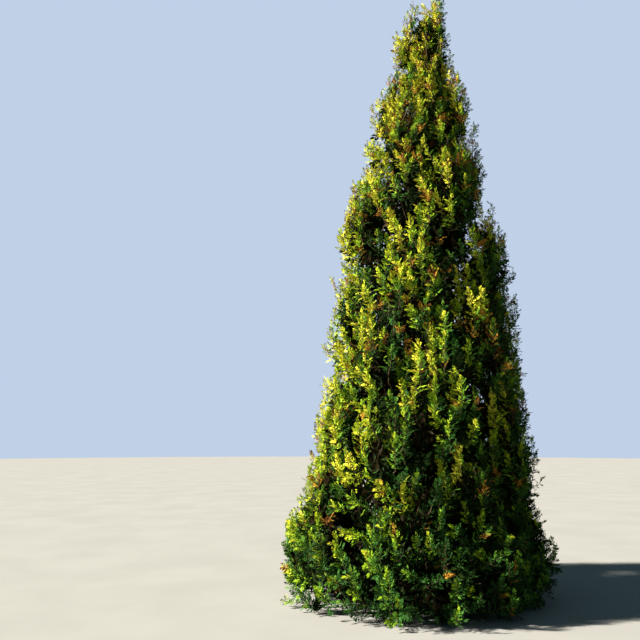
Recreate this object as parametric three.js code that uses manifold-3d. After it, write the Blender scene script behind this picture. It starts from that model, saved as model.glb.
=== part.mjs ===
// An arborvitae about 7.6 m tall, standing in level ground: one trunk that runs up to its tip, rising
// boughs, and dense plumes of flat, toothed sprays. Each plume is one solid that fills a space of its own.
// Millimetres, +Z up. The origin is the middle of the flat cut under the trunk, and the tree leans to +X.
import * as THREE from "three";
import { mergeVertices } from "three/addons/utils/BufferGeometryUtils.js";
import Module from "manifold-3d";

const wasm = await Module();
wasm.setup();

// The whole tree
const treeHeight = 7600;
const crownRadius = 1625; // the crown's reach from the trunk's line at its foot
const crownPower = 0.6; // how the crown narrows: its reach goes with this power of the height left
const skirtHeight = 420; // the crown draws in below this height
const skirtTuck = 0.1; // by this share of its reach
const tipLean = 465; // how far the tip stands to +X of the foot
const bend = 85; // the trunk swings this far to +X of the straight line low down, and to -X high up
const sway = 45; // the trunk's slow bend to +Y at half height

// The trunk and its root flare
const trunkTop = 7200;
const trunkRadius = 98; // above the flare
const trunkTipRadius = 7;
const trunkPower = 0.85;
const flareRadius = 62; // what the flare adds at the ground
const flareHeight = 210;
const flareLobes = 5;
const flareLobeShare = 0.3;
const trunkSides = 15;
const trunkSteps = 16;
const trunkStepPower = 1.6; // rings lie closer together in the flare

// The boughs, and the bare stems of the plumes that grow straight from the trunk
const boughFootRadius = 34; // at the ground; those higher up are thinner
const boughThinning = 0.62; // by this share at the top
const boughTipShare = 0.55;
const boughRise = 0.85; // height gained for each unit of reach, from the trunk to the plume's middle
const boughSag = 0.1; // how far a bough hangs below the straight line, as a share of its length
const boughSides = 5;
const boughSteps = 3;
const lowestFoot = 260;
const stemStub = 45; // the bare stretch of stem between a bough's tip and the core
const sideStemStub = -40; // the side leader's bough ends inside its core
const stemStart = 12; // how far inside the bough's tip a stem begins, before it is cut clear
const stemLean = 0.3; // how far a stem leans out as it rises through its plume
const stemTipRadius = 3;
const stemSides = 4;
const stemSteps = 4;
const leaderStemRadius = 18; // wide enough to sheathe the trunk's tip

// The plumes stand in a spiral: each a golden angle round from the last, and a step higher
const plumeCount = 33;
const boughCount = 22; // the lowest plumes grow from boughs, those above straight from the trunk
const lowestPlume = 400;
const highestPlume = 5900;
const crowding = 1.5; // how much closer together, in height, the lower plumes stand
const firstTurn = 260; // degrees
const plumeShare = 0.62; // the share of the crown's reach that the middles lie at
const plumeTurnSpread = 8; // degrees
const plumeHeightSpread = 70;
const plumeReachSpread = 0.04; // plumes reach this much more or less than the crown's own line
const plumeBulge = 0.04; // and bulge by this share round their middles
const plumeBulgeHeight = 800;
const hangingHeight = 1250; // plumes under this hang: their lowest twigs reach for the rim on the ground
const hangingTwigs = 2; // how many twigs more they have
const hangingTwigShare = 0.4; // the share of their twigs that hang
const steepestFall = 44; // degrees
const hangingTwigLengths = [0.82, 0.97]; // of the way to the side of the space
const hangingSprayRoll = 18; // degrees: the sprays on them lie almost level

// The leaders: slim spires at the top, each round its own line
const leader = { height: 6760, top: 7620, shift: 40, spire: 340, twigs: 10 };
const sideLeader = { height: 6750, top: 7450, shift: -260, spire: 270, twigs: 7 };
const leaderDrop = 560; // how far under its middle the leader's stem begins
const leaderTwigRise = -32; // of the lowest twigs
const spirePower = 0.62; // spire is the reach at 1 m below the top, and goes with this power of the depth

// The spaces
const squat = 0.6; // heights count for this much when a point is given to its nearest plume
const plumeGap = 12; // what every vertex keeps clear of its space's sides
const groundGap = 12;
const hollowShare = 0.26; // the inside of the crown, bare of foliage
const reachStep = 12;
const longestReach = 1800;

// The dense core of each plume
const coreDepthShare = 0.17; // how far it stays inside the crown's outline, of the crown's reach there
const skirtCoreDepthShare = 0.06; // in a plume that hangs
const cornerDip = 31; // degrees below level: the vertices of a hanging core that aim at the rim on the ground
const spireCoreDepth = 95;
const coreGap = 30; // and inside the sides of its space
const spireCoreGap = 10;
const corePinch = 0.12; // how far it narrows towards its top
const coreDent = 0.08; // how far it is dented in places
const dents = 5;

// Twigs and sprays
const mostTwigs = 5.3; // of a plume as wide as the crown's foot
const twigRadius = 12;
const lowestTwig = 0.16; // as a share of the stem
const highestTwig = 0.97;
const lowTwigRise = -38; // degrees above level
const highTwigRise = 66;
const twigFan = 100; // degrees to either side of straight out from the trunk
const twigTurnSpread = 0.1; // of the fan
const twigLengths = [0.66, 0.86]; // the least and the most, as shares of the way to the side of the space
const goldenShare = (Math.sqrt(5) - 1) / 2;
const sprayLength = 560;
const smallSprayShare = 0.62; // the sprays of the leaders
const spraySizes = [1, 0.82, 0.66];
const spraySinks = [0.1, 0.22, 0.36, 0.5, 0.64]; // how much of a spray lies behind its joint with the twig
const sprayWidth = 0.68; // of its length
const sprayThickness = 0.055;
const sprayRidge = 0.42; // where it is thickest
const lowSprayRise = 15; // degrees above level, at the foot of a plume
const skirtSprayRise = -6; // at the foot of a plume that hangs
const sprayRise = 68; // from a plume's middle up
const sprayRoll = 60; // degrees either way from facing straight out

// The sprays of a twig: where they stand along it, how many degrees they turn from it, and their size
const tuft = [
  { place: 1, swing: -14, size: 1 },
  { place: 0.75, swing: 52, size: 0.9 },
];

const clearance = 0.35; // between touching solids
const nearlyNothing = 0.1;
const up = new THREE.Vector3(0, 0, 1);
const degrees = Math.PI / 180;

const barkMaterial = new THREE.MeshStandardMaterial({ color: 0x6b4a35, roughness: 0.95 });
const foliageMaterial = new THREE.MeshStandardMaterial({ color: 0x5d7f1c, roughness: 0.8 });

// A repeatable stream of numbers from 0 to 1.
const layoutSeed = 20307;
const firstSeed = 101; // of the plumes
const seedStep = 37;
const streamFactor = 48271;
const streamSize = 2 ** 31 - 1;

function numbers(seed) {
  let state = seed;
  return () => {
    state = (state * streamFactor) % streamSize;
    return state / streamSize;
  };
}

function lineAt(z) {
  const share = z / treeHeight;
  const x = tipLean * share + bend * Math.sin(2 * Math.PI * share);
  return new THREE.Vector3(x, sway * Math.sin(Math.PI * share), z);
}

function crownReach(z) {
  const low = Math.max(0, 1 - Math.max(z, 0) / skirtHeight);
  const left = Math.max(0, 1 - z / treeHeight);
  return crownRadius * left ** crownPower * (1 - skirtTuck * low * low);
}

function trunkRadiusAt(z, angle = 0) {
  const left = Math.max(0, 1 - z / trunkTop);
  const taper = trunkTipRadius + (trunkRadius - trunkTipRadius) * left ** trunkPower;
  const lobes = 1 + flareLobeShare * Math.cos(flareLobes * angle);
  return taper + flareRadius * lobes * Math.exp(-z / flareHeight);
}

// A closed solid from a three.js geometry.
function solidOf(geometry) {
  const bare = geometry.clone();
  bare.deleteAttribute("normal");
  bare.deleteAttribute("uv");
  const merged = mergeVertices(bare, 1e-3);
  return new wasm.Manifold(
    new wasm.Mesh({
      numProp: 3,
      vertProperties: new Float32Array(merged.attributes.position.array),
      triVerts: new Uint32Array(merged.index.array),
    }),
  );
}

function geometryOf(solid) {
  const mesh = solid.getMesh();
  const geometry = new THREE.BufferGeometry();
  geometry.setAttribute("position", new THREE.BufferAttribute(new Float32Array(mesh.vertProperties), 3));
  geometry.setIndex(new THREE.BufferAttribute(new Uint32Array(mesh.triVerts), 1));
  const flat = geometry.toNonIndexed();
  flat.computeVertexNormals();
  return flat;
}

// Moves every vertex of a geometry by a rule that takes its old place and returns its new one.
function reshape(geometry, rule) {
  const place = geometry.attributes.position;
  const old = new THREE.Vector3();
  for (let i = 0; i < place.count; i++) {
    const moved = rule(old.fromBufferAttribute(place, i));
    place.setXYZ(i, moved.x, moved.y, moved.z);
  }
  return geometry;
}

// The trunk: level rings round the leaning line, with lobes in the flare. grow widens it for cuts.
function trunkSolid(grow = 0) {
  const column = new THREE.CylinderGeometry(1, 1, 1, trunkSides, trunkSteps);
  const shaped = reshape(column, (p) => {
    const z = (p.y + 0.5) ** trunkStepPower * (trunkTop + grow);
    const angle = Math.atan2(-p.z, p.x);
    const radius = p.x || p.z ? trunkRadiusAt(z, angle) + grow : 0;
    const line = lineAt(z);
    return new THREE.Vector3(line.x + radius * Math.cos(angle), line.y + radius * Math.sin(angle), z);
  });
  return solidOf(shaped);
}

// A tapering limb along a curve. grow makes it thicker and longer, for cuts.
function limbSolid(curve, footRadius, tipRadius, sides, steps, grow = 0) {
  const rod = new THREE.CylinderGeometry(1, 1, 1, sides, steps);
  const side = up.clone().cross(curve.getTangent(0.5));
  if (side.length() < nearlyNothing) side.set(1, 0, 0);
  const shaped = reshape(rod, (p) => {
    const share = p.y + 0.5;
    const along = curve.getTangent(share);
    const across = side.clone().addScaledVector(along, -side.dot(along)).normalize();
    const third = across.clone().cross(along);
    const radius = footRadius + (tipRadius - footRadius) * share + grow;
    return curve
      .getPoint(share)
      .addScaledVector(along, 2 * p.y * grow)
      .addScaledVector(across, p.x * radius)
      .addScaledVector(third, p.z * radius);
  });
  return solidOf(shaped);
}

// A pointed twig with three sides.
function twigSolid(foot, tip) {
  const along = tip.clone().sub(foot);
  const cone = new THREE.ConeGeometry(twigRadius, along.length(), 3, 1);
  cone.translate(0, along.length() / 2, 0);
  const turn = new THREE.Quaternion().setFromUnitVectors(new THREE.Vector3(0, 1, 0), along.normalize());
  cone.applyQuaternion(turn);
  cone.translate(foot.x, foot.y, foot.z);
  return solidOf(cone);
}

// A spray: a low sphere pressed into a blade. Its poles are the ridge of each face, and its middle ring is
// the toothed outline, as shares of the length along and across.
const sprayOutline = [
  [1, 0],
  [0.66, 0.15],
  [0.72, 0.5],
  [0, 0],
  [0.5, -0.5],
  [0.58, -0.14],
];

function sprayGeometry(root, along, across, length) {
  const blade = new THREE.SphereGeometry(1, sprayOutline.length, 2);
  const normal = along.clone().cross(across);
  return reshape(blade, (p) => {
    const onRing = Math.abs(p.y) < 0.5;
    const turn = Math.round((Math.atan2(p.z, -p.x) / (2 * Math.PI)) * sprayOutline.length);
    const corner = sprayOutline[(turn + sprayOutline.length) % sprayOutline.length];
    const [u, v] = onRing ? corner : [sprayRidge, 0];
    const lift = onRing ? 0 : Math.sign(p.y) * 0.5 * sprayThickness;
    return root
      .clone()
      .addScaledVector(along, u * length)
      .addScaledVector(across, v * sprayWidth * length)
      .addScaledVector(normal, lift * length);
  });
}

// The plumes: the middle of each space, its names and its own reach.
function layOutPlumes() {
  const random = numbers(layoutSeed);
  const spread = (amount) => (2 * random() - 1) * amount;
  const plumes = [];
  for (let i = 0; i < plumeCount; i++) {
    const angle = (firstTurn + 360 * goldenShare * i + spread(plumeTurnSpread)) * degrees;
    const rise = (i / (plumeCount - 1)) ** crowding;
    const z = lowestPlume + (highestPlume - lowestPlume) * rise + spread(plumeHeightSpread);
    const out = new THREE.Vector3(Math.cos(angle), Math.sin(angle), 0);
    const hangs = z < hangingHeight;
    const rim = crownReach(0) - plumeShare * crownReach(z);
    const cornerFall = Math.atan2(z, rim) / degrees;
    plumes.push({
      name: `plume_${i + 1}`,
      bough: i < boughCount ? `bough_${i + 1}` : null,
      middle: lineAt(z).addScaledVector(out, plumeShare * crownReach(z)),
      out,
      reach: 1 + spread(plumeReachSpread),
      twigs: Math.round((mostTwigs * crownReach(z)) / crownRadius) + (hangs ? hangingTwigs : 0),
      hanging: hangs ? hangingTwigShare : 0,
      lowRise: hangs ? -Math.min(steepestFall, cornerFall) : lowTwigRise,
      cornerFall,
      lowSprayRise: hangs ? skirtSprayRise : lowSprayRise,
    });
  }
  plumes.push({ name: "leader_plume", ...leader, stemRadius: leaderStemRadius });
  plumes.push({ name: "side_leader_plume", bough: "side_leader_bough", ...sideLeader });
  for (const plume of plumes.slice(plumeCount)) {
    plume.middle = lineAt(plume.height).add(new THREE.Vector3(plume.shift, 0, 0));
    plume.out = new THREE.Vector3(-1, 0, 0);
    Object.assign(plume, { hanging: 0, lowRise: leaderTwigRise, lowSprayRise });
  }
  plumes.forEach((plume, i) => (plume.seed = firstSeed + seedStep * i));
  return plumes;
}

const plumes = layOutPlumes();

// How far a point lies inside the crown's own outline, as a plume fills it, and outside the bare middle.
function roomInCrown(plume, point) {
  const line = lineAt(point.z);
  if (plume.top) {
    const left = Math.max(0, plume.top - point.z);
    const off = Math.hypot(point.x - line.x - plume.shift, point.y - line.y);
    return Math.min(plume.spire * (left / 1000) ** spirePower - off, left);
  }
  const reach = crownReach(point.z);
  const out = Math.hypot(point.x - line.x, point.y - line.y);
  const off = Math.min(1, Math.abs(point.z - plume.middle.z) / plumeBulgeHeight);
  return reach * plume.reach * (1 + plumeBulge * Math.cos(Math.PI * off)) - out;
}

// How far a point lies inside a plume's space: under 0 outside it. skin draws in the crown's outline.
function roomAt(plume, point, skin = 0) {
  const line = lineAt(point.z);
  const out = Math.hypot(point.x - line.x, point.y - line.y);
  let room = Math.min(roomInCrown(plume, point) - skin, point.z - groundGap);
  if (!plume.top) room = Math.min(room, out - hollowShare * crownReach(point.z) - trunkRadiusAt(point.z));
  for (const other of plumes) {
    if (other === plume) continue;
    const apart = other.middle.clone().sub(plume.middle);
    const here = point.clone().sub(plume.middle);
    apart.z *= squat;
    here.z *= squat;
    const half = apart.length() / 2;
    room = Math.min(room, half - here.dot(apart) / (2 * half));
  }
  return room;
}

// How far it is from a point, in a direction, to where the space leaves less room than gap.
function reachFrom(plume, point, direction, gap, skin = 0) {
  const here = point.clone();
  for (let gone = 0; gone < longestReach; gone += reachStep) {
    here.addScaledVector(direction, reachStep);
    if (roomAt(plume, here, skin) < gap) return gone;
  }
  return longestReach;
}

function coreReach(plume, direction) {
  if (plume.top) return reachFrom(plume, plume.middle, direction, spireCoreGap, spireCoreDepth);
  const depth = plume.hanging ? skirtCoreDepthShare : coreDepthShare;
  const skin = depth * crownReach(plume.middle.z);
  return reachFrom(plume, plume.middle, direction, coreGap, skin);
}

// A direction from the middle of a hanging plume, turned down so that the low vertices of its core meet in
// the corner between the crown's outline and the ground.
function aimedAtRim(plume, direction) {
  const dip = Math.asin(-direction.z) / degrees;
  if (!plume.hanging || dip <= 0) return direction;
  const corner = plume.cornerFall;
  const above = (corner * dip) / cornerDip;
  const below = 90 - ((90 - corner) * (90 - dip)) / (90 - cornerDip);
  const turned = Math.min(dip < cornerDip ? above : below, 90) * degrees;
  const level = Math.hypot(direction.x, direction.y) || 1;
  const scale = Math.cos(turned) / level;
  return new THREE.Vector3(direction.x * scale, direction.y * scale, -Math.sin(turned)).normalize();
}

// The core: a faceted ball drawn out to near the sides of the space, pinched towards its top and dented.
function coreSolid(plume) {
  const ball = new THREE.IcosahedronGeometry(1, 1);
  const shaped = reshape(ball, (p) => {
    const direction = aimedAtRim(plume, p.clone().normalize());
    const pinch = corePinch * Math.sin(Math.PI * Math.max(0, direction.z));
    const wave = Math.sin(dents * direction.x + plume.seed) * Math.sin(dents * direction.y);
    const dent = coreDent * Math.abs(wave);
    const reach = coreReach(plume, direction) * (1 - pinch - dent);
    return plume.middle.clone().addScaledVector(direction, reach);
  });
  return solidOf(shaped);
}

const group = new THREE.Group();

function addMesh(name, solid, material) {
  const mesh = new THREE.Mesh(geometryOf(solid), material);
  mesh.name = name;
  group.add(mesh);
}

function largestBody(solid) {
  return solid.decompose().reduce((a, b) => (b.volume() > a.volume() ? b : a));
}

// Where the limb of a plume leaves the trunk's line.
function limbFoot(plume) {
  const line = lineAt(plume.middle.z);
  const out = Math.hypot(plume.middle.x - line.x, plume.middle.y - line.y);
  return lineAt(Math.max(lowestFoot, plume.middle.z - boughRise * out));
}

// The bough of a plume: from inside the trunk out and up to a stub's length short of the core.
function boughCurve(plume) {
  const foot = limbFoot(plume);
  const back = foot.clone().sub(plume.middle).normalize();
  const stub = plume.top ? sideStemStub : stemStub;
  const tip = plume.middle.clone().addScaledVector(back, coreReach(plume, back) + stub);
  const middle = foot.clone().lerp(tip, 0.5).addScaledVector(up, -boughSag * foot.distanceTo(tip));
  return new THREE.QuadraticBezierCurve3(foot, middle, tip);
}

function boughRadius(plume) {
  return boughFootRadius * (1 - boughThinning * (plume.middle.z / treeHeight));
}

function boughSolid(plume, grow = 0) {
  const foot = boughRadius(plume);
  return limbSolid(plume.curve, foot, foot * boughTipShare, boughSides, boughSteps, grow);
}

// The stem of a plume: on from its bough's tip, or from inside the trunk, to the top of its space.
function stemCurve(plume) {
  const lean = lineAt(treeHeight).sub(lineAt(leader.height)).normalize();
  const rising = plume.top ? lean : plume.out.clone().multiplyScalar(stemLean).add(up).normalize();
  const top = reachFrom(plume, plume.middle, rising, plumeGap);
  const tip = plume.middle.clone().addScaledVector(rising, top);
  let foot = limbFoot(plume);
  if (plume.curve) foot = plume.curve.getPoint(1).addScaledVector(plume.curve.getTangent(1), -stemStart);
  if (plume.top && !plume.curve) foot = lineAt(plume.middle.z - leaderDrop);
  return new THREE.CatmullRomCurve3([foot, plume.middle, tip]);
}

// Whether every vertex of a spray stays in the space and off the limbs.
function fits(plume, geometry) {
  const place = geometry.attributes.position;
  const corner = new THREE.Vector3();
  for (let i = 0; i < place.count; i++) {
    corner.fromBufferAttribute(place, i);
    if (roomAt(plume, corner) < plumeGap) return false;
    if (limbs.some(({ points, radius }) => points.some((p) => p.distanceTo(corner) < radius))) return false;
  }
  return true;
}

// The largest spray that fits on a joint, sunk along its own heading as far as it must be.
function fittingSpray(plume, joint, heading, across, longest) {
  for (const size of spraySizes) {
    for (const sink of spraySinks) {
      const length = size * longest;
      const root = joint.clone().addScaledVector(heading, -sink * length);
      const blade = sprayGeometry(root, heading, across, length);
      if (fits(plume, blade)) return solidOf(blade);
    }
  }
  return null;
}

// A twig and its tuft of sprays, at a share of the way up the stem.
function twigPieces(plume, stem, index, random) {
  const share = (index + 0.5) / plume.twigs;
  const foot = stem.getPoint(lowestTwig + (highestTwig - lowestTwig) * share);
  const fan = plume.top ? 180 : twigFan;
  const turn = (2 * ((index * goldenShare + twigTurnSpread * random()) % 1) - 1) * fan * degrees;
  const climb = Math.max(0, (share - plume.hanging) / (1 - plume.hanging));
  const rise = (plume.lowRise + (highTwigRise - plume.lowRise) * climb) * degrees;
  const level = plume.out.clone().applyAxisAngle(up, turn);
  const direction = level.clone().multiplyScalar(Math.cos(rise)).addScaledVector(up, Math.sin(rise));
  const hangs = plume.hanging > 0 && climb === 0;
  const [least, most] = hangs ? hangingTwigLengths : twigLengths;
  const roll = hangs ? hangingSprayRoll : sprayRoll;
  const length = reachFrom(plume, foot, direction, plumeGap) * (least + (most - least) * random());
  const end = foot.clone().addScaledVector(direction, length);
  const lift = (plume.lowSprayRise + (sprayRise - plume.lowSprayRise) * Math.min(1, 2 * climb)) * degrees;
  const pieces = [twigSolid(foot, end)];
  for (const { place, swing, size } of tuft) {
    const heading = level.clone().applyAxisAngle(up, swing * degrees).multiplyScalar(Math.cos(lift));
    heading.addScaledVector(up, Math.sin(lift));
    const across = up.clone().addScaledVector(heading, -up.dot(heading));
    if (across.length() < nearlyNothing) across.copy(level);
    across.normalize().applyAxisAngle(heading, (90 + (2 * random() - 1) * roll) * degrees);
    const longest = sprayLength * size * (plume.top ? smallSprayShare : 1);
    const spray = fittingSpray(plume, foot.clone().lerp(end, place), heading, across, longest);
    if (spray) pieces.push(spray);
  }
  return pieces;
}

// A plume: its core, the stem through it, and twigs with tufts of sprays that stand out of it.
function plumeSolid(plume) {
  const random = numbers(plume.seed);
  const stem = stemCurve(plume);
  const stemRadius = plume.stemRadius ?? boughRadius(plume) * boughTipShare;
  const pieces = [coreSolid(plume), limbSolid(stem, stemRadius, stemTipRadius, stemSides, stemSteps)];
  for (let index = 0; index < plume.twigs; index++) pieces.push(...twigPieces(plume, stem, index, random));
  return wasm.Manifold.union(pieces);
}

const trunk = trunkSolid();
const trunkCut = trunkSolid(clearance);
addMesh("trunk", trunk, barkMaterial);

const limbs = []; // points and radii that the sprays keep off
const limbSteps = 24;
const cuts = [trunkCut];

for (const plume of plumes) {
  if (!plume.bough) continue;
  plume.curve = boughCurve(plume);
  limbs.push({ points: plume.curve.getPoints(limbSteps), radius: boughRadius(plume) + plumeGap });
  cuts.push(boughSolid(plume, clearance));
  addMesh(plume.bough, largestBody(boughSolid(plume).subtract(trunkCut)), barkMaterial);
}

const limbCut = wasm.Manifold.union(cuts);
for (const plume of plumes) {
  addMesh(plume.name, largestBody(plumeSolid(plume).subtract(limbCut)), foliageMaterial);
}

export default group;
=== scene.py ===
# An arborvitae about 7.6 m tall: bark over its trunk and boughs, and plumes grown out to fine twigs that
# end in upright tufts of flat sprays, with small cones. Metres, +Z up, the flat cut under the trunk at the
# origin.
import math

import bmesh
import bpy
import numpy as np
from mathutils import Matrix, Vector, noise


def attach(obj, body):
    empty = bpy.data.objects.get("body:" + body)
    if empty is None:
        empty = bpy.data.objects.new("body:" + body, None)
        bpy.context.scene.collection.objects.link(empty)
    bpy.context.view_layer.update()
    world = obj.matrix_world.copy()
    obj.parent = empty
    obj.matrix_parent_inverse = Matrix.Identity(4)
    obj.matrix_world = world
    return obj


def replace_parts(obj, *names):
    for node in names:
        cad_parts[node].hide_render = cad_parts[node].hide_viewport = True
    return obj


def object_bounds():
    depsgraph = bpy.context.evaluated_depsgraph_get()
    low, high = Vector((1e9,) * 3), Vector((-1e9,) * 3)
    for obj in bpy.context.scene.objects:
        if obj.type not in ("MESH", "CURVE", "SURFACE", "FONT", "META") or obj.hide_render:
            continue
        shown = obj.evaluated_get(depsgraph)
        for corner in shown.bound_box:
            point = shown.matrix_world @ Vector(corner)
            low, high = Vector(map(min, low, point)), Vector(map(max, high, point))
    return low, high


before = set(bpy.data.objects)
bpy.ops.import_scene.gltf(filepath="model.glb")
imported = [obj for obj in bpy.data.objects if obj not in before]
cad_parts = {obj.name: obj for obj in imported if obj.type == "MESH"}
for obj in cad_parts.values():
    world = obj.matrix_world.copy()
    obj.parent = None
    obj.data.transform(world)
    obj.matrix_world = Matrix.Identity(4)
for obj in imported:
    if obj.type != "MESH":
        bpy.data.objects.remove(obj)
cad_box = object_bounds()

# The whole tree, with the sizes of the part's source
TREE_HEIGHT = 7.6
CROWN_RADIUS = 1.625
CROWN_POWER = 0.6
SKIRT_HEIGHT = 0.42
SKIRT_TUCK = 0.1
TIP_LEAN = 0.465
BEND = 0.085
SWAY = 0.045

# The trunk and its root flare
TRUNK_TOP = 7.2
TRUNK_RADIUS = 0.098
TRUNK_TIP_RADIUS = 0.007
TRUNK_POWER = 0.85
FLARE_RADIUS = 0.062
FLARE_HEIGHT = 0.21
FLARE_LOBES = 5
FLARE_LOBE_SHARE = 0.3
TRUNK_STEP_POWER = 1.6
TRUNK_SIDES = 72
TRUNK_STEPS = 220

# The boughs, and the stems of the plumes
BOUGH_FOOT_RADIUS = 0.034
BOUGH_THINNING = 0.62
BOUGH_TIP_SHARE = 0.55
BOUGH_RISE = 0.85
BOUGH_SAG = 0.1
BOUGH_SIDES = 14
BOUGH_STEPS = 24
LOWEST_FOOT = 0.26
STEM_STUB = 0.045
SIDE_STEM_STUB = -0.04
STEM_LEAN = 0.3
STEM_TIP_RADIUS = 0.003
STEM_DEPTH = 0.16  # how far inside the crown's line the stems end
LEADER_STEM_RADIUS = 0.018

# The relief of the bark: strips that run up the limb
BARK_STRIP = 0.02  # how wide a strip is
BARK_STRIP_STRETCH = 9  # and how many times longer
BARK_RELIEF_SHARE = 0.085  # of the limb's radius
MOST_BARK_RELIEF = 0.006
BARK_FLAKES = 2.7  # times finer than the strips
BARK_FLAKE_SHARE = 0.4
BARK_SINK = 0.4  # how far the relief is sunk, as a share of its height
WELD_DISTANCE = 1e-6

# The plumes: where they stand and how far they reach
PLUME_COUNT = 33
BOUGH_COUNT = 22
LOWEST_PLUME = 0.4
HIGHEST_PLUME = 5.9
CROWDING = 1.5
FIRST_TURN = 260
PLUME_SHARE = 0.62
PLUME_TURN_SPREAD = 8
PLUME_HEIGHT_SPREAD = 0.07
PLUME_REACH_SPREAD = 0.04
PLUME_BULGE = 0.04
PLUME_BULGE_HEIGHT = 0.8
HANGING_HEIGHT = 1.25
HANGING_TWIG_SHARE = 0.4
STEEPEST_FALL = 44
LEADER = {"height": 6.76, "top": 7.62, "shift": 0.04, "spire": 0.34, "twigs": 64}
SIDE_LEADER = {"height": 6.75, "top": 7.45, "shift": -0.26, "spire": 0.27, "twigs": 44}
LEADER_DROP = 1.1
LEADER_TWIG_RISE = -32
SPIRE_POWER = 0.62
SQUAT = 0.6
PLUME_GAP = 0.012
GROUND_GAP = 0.012
HOLLOW_SHARE = 0.26
REACH_STEP = 0.012
LONGEST_REACH = 1.8
CORE_DEPTH_SHARE = 0.17
SKIRT_CORE_DEPTH_SHARE = 0.06
SPIRE_CORE_DEPTH = 0.095
CORE_GAP = 0.03
SPIRE_CORE_GAP = 0.01

# Twigs: more of them than in the source, by the same rule
MOST_TWIGS = 40
HANGING_TWIGS = 16
TWIG_POWER = 0.7  # how the number falls as the crown narrows
TWIG_RADIUS = 0.007
LOWEST_TWIG = 0.1
HIGHEST_TWIG = 0.97
LOW_TWIG_RISE = -38
HIGH_TWIG_RISE = 66
TWIG_FAN = 110
OLD_SPAN = (0.6, 7.0)  # the heights between which the trunk bears old sprays of its own
# Twigs that grow from the trunk: between these heights, this many, rising by so much at the lowest and the
# highest, with tufts that rise by at least so much, up to this share of the crown's reach
TRUNK_TWIGS = {"span": (0.6, 7.0), "twigs": 420, "rises": (25, 66), "low_tuft_rise": 55, "reach": 0.96}
SKIRT_TWIGS = {
    "span": (0.16, 0.5),
    "twigs": 360,
    "rises": (-7, 10),
    "low_tuft_rise": 20,
    "reach": 1,
    "lengths": (0.84, 0.99),
}
OPEN_FAN_HEIGHT = 4.9  # above this the twigs stand all round the stem
TWIG_TURN_SPREAD = 0.1
TWIG_LENGTHS = (0.55, 0.92)  # as shares of the way to the edge of the space
TWIG_SAG = 0.12
TWIG_TAPER = 0.5  # the tip's radius, as a share of the foot's
SHORTEST_TWIG = 0.03
STEM_GRID = (6, 10)  # sides and steps of the tubes
TWIG_GRID = (3, 3)
GOLDEN_SHARE = (math.sqrt(5) - 1) / 2

# Tufts: upright shoots of the twigs, each with sprays all round it
TUFT_LENGTH = 0.34
TOP_TUFT_SHARE = 0.72  # of that length where the crown ends
TUFT_SIZES = (1, 0.82, 0.66, 0.5)
TUFT_SINKS = (0.0, 0.12, 0.24, 0.36, 0.48, 0.6)
TUFT_SPACING = 0.102  # between the middles of two tufts of full length
TUFT_SPACING_POWER = 0.7  # for shorter tufts
TUFT_SQUAT = 0.6
DEEPEST_TUFT = 0.31  # tufts further inside the crown would not show
TUFT_RADIUS = 0.003
TUFT_TAPER = 0.4
TUFT_BOW = 0.12
LOW_TUFT_RISE = 34
SKIRT_TUFT_RISE = 2
TUFT_RISE = 79
TUFT_RISE_SPREAD = 16
STEEPEST_TUFT = 88
# The tufts of a twig: how far along it, turned off it by so many degrees, and how long, as a share
TUFTS = ((1, -14, 1), (0.85, 48, 0.95), (0.68, -62, 0.9), (0.5, 80, 0.85), (0.34, -95, 0.8))
VALLEY_DEPTH = 0.06  # how much lower the crown lies along the borders between the plumes
VALLEY_WIDTH = 0.16
RIDGE_DEPTH = 0.13  # how deep the furrows between the upright ridges of the crown are
RIDGES = 15  # round the crown
RIDGE_WAVES = (2.1, 1.9, 1.3)  # how far the ridges wander, how often, and how much they slant
RIDGE_BREAKS = (1.7, 3, 5)  # how often they break off, and how that shifts round the crown
FURROW_PARTS = (0.5, 0.6, 0.35)  # their depth on the whole, beside ridges and at breaks
# The outline that the tufts keep to, by height: how far it lies to +X of the crown's own, and inside it
OUTLINE_HEIGHTS = (0, 0.45, 0.9, 1.7, 2.3, 3.2, 4.2, 5.0, 5.8, 6.5, 7.2)
OUTLINE_SHIFTS = (-0.17, -0.13, -0.14, -0.11, -0.11, 0, -0.09, -0.06, -0.04, -0.03, -0.02)
OUTLINE_DEPTHS = (-0.05, 0.01, 0.1, 0.08, 0.1, 0.03, 0.04, 0.0, 0.06, 0.08, 0.05)

# Sprays
SPRAYS_ON_TUFT = 23
FEWEST_SPRAYS = 5
SPRAY_LENGTH = 0.122
SPRAY_LENGTH_POWER = 0.4  # for shorter tufts
SIZE_RANGE = (0.8, 1.2)  # how sprays and clusters of cones differ in length
SPRAY_TIP_SHARE = 0.7  # how long the sprays near the tip are
SPRAY_SIZES = (1, 0.8, 0.6)
SPRAY_TILT = (58, 16)  # degrees off the shoot, at its foot and near its tip
SPRAY_TILT_SPREAD = 16
TURN_SPREAD = 20  # how far sprays and cones stand off an even turn
SPRAY_ROLL = 42
SPRAY_WIDEST = 0.55  # how far along it a spray is widest
SPRAY_HALF_WIDTH = 0.3
TIP_CLEARANCE = 0.6  # how far the topmost spray stands out over the shoot, of its length
MOST_SLACK = 0.11  # how far a tuft may stand out of the outline
SLACK_POWER = 3  # few tufts do so
SLACK_HEIGHT = 1.2  # and below this height they do so less
OLD_SPRAY_LENGTH = 0.23
OLD_SPRAYS_ON_TWIG = 8
OLD_SPRAYS_ON_STEM = 52
OLD_SPRAYS_ON_TRUNK = 1300
OLD_TRUNK_REACH = 1.3  # how far from the trunk those stand at most, as a share of the bare middle's reach
OLD_SPRAY_CROWN = 1.0  # the others are shorter where the crown is narrower than this
OLD_SPRAY_DEPTH = 0.1  # and lie at least so far inside the outline
LEADER_OLD_SPRAY_DEPTH = 0.06
OLD_SPRAY_TURN = 65
OLD_SPRAY_FOOT = 0.1  # where along a limb the first of them stands
OLD_SPRAY_SPAN = 0.85
OLD_GREEN_SHARE = 0.6
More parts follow.
